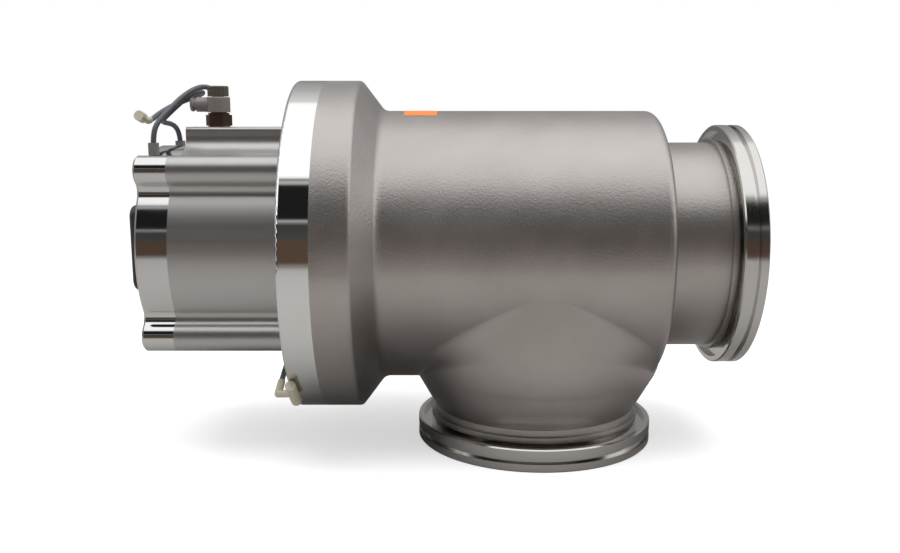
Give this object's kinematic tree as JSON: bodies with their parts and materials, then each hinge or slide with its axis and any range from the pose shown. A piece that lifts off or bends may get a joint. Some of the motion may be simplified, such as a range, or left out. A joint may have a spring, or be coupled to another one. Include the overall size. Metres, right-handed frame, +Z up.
{
  "type": "vacuum angle valve",
  "caption": "Right-angle vacuum valve: cast body with two clamp flanges, bellows-sealed disc and air cylinder with a swivel speed controller.",
  "frame": {"origin": "centre of the side port's sealing face, which looks down", "axes": "+Z up along the side port's axis, +X from the actuator towards the axial port"},
  "size_m": [0.3249, 0.1768, 0.1964],
  "materials": {
    "cast_steel": "bead-blasted stainless",
    "plate_metal": "turned",
    "tube_metal": "satin anodised",
    "cap_metal": "polished",
    "steel": "ground",
    "screw_steel": "bright",
    "seal_rubber": "matte",
    "bush_bronze": "sintered",
    "black_plastic": "moulded",
    "grey_plastic": "moulded",
    "dark_stud": "dark plated",
    "sensor_plastic": "moulded",
    "lead_jacket": "soft jacket",
    "nylon": "natural nylon"
  },
  "bodies": {
    "housing": {"valve_body": "cast_steel", "bonnet_plate": "plate_metal", "cylinder_tube": "tube_metal", "end_cap": "cap_metal", "end_cover": "black_plastic", "bonnet_screws": "screw_steel", "cap_screws": "screw_steel", "cover_screws": "screw_steel", "bonnet_seal": "seal_rubber", "tube_seal": "seal_rubber", "cap_seal": "seal_rubber", "rod_bush": "bush_bronze", "rod_seal": "seal_rubber", "seal_retainer": "steel", "bellows_collar": "steel", "bellows": "steel", "return_spring": "steel", "fitting_stud": "dark_stud", "stud_gasket": "seal_rubber", "sensor_front": "sensor_plastic", "sensor_rear": "sensor_plastic", "sensor_front_lead": "lead_jacket", "sensor_rear_lead": "lead_jacket", "connector_lower": "nylon", "connector_upper": "nylon"},
    "stem": {"actuator_rod": "steel", "piston": "tube_metal", "piston_seal": "seal_rubber", "magnet_ring": "seal_rubber", "wear_ring": "grey_plastic", "piston_nut": "screw_steel", "valve_disc": "steel", "disc_seal": "seal_rubber", "disc_screw": "screw_steel", "bellows_end_ring": "steel"},
    "elbow": {"fitting_elbow": "grey_plastic", "socket_seal": "seal_rubber", "tube_collet": "steel"},
    "release_ring": {"release_ring": "grey_plastic"},
    "adjusting_knob": {"adjusting_knob": "dark_stud"},
    "needle": {"needle": "steel"}
  },
  "joints": [
    {"name": "valve_stroke", "type": "slide", "parent": "housing", "child": "stem", "axis": [-1, 0, 0], "range_m": [0, 0.028], "stiffness_N_per_m": 3000, "springref_m": -0.015, "deforming": ["return_spring", "bellows"]},
    {"name": "elbow_swivel", "type": "hinge", "parent": "housing", "child": "elbow", "pos_m": [-0.1725, 0, 0.172], "axis": [0, 0, 1], "continuous": true},
    {"name": "release_push", "type": "slide", "parent": "elbow", "child": "release_ring", "axis": [1, 0, 0], "range_m": [0, 0.0012], "stiffness_N_per_m": 400, "springref_m": -0.0005},
    {"name": "needle_lift", "type": "slide", "parent": "elbow", "child": "needle", "axis": [0, 0, 1], "range_m": [0, 0.003]},
    {"name": "knob_turn", "type": "hinge", "parent": "elbow", "child": "adjusting_knob", "pos_m": [-0.1725, 0, 0.172], "axis": [0, 0, 1], "range_deg": [0, 2160.5]}
  ],
  "couplings": [
    {"joint": "knob_turn", "follows": "needle_lift", "rad_per_m": 12566}
  ]
}
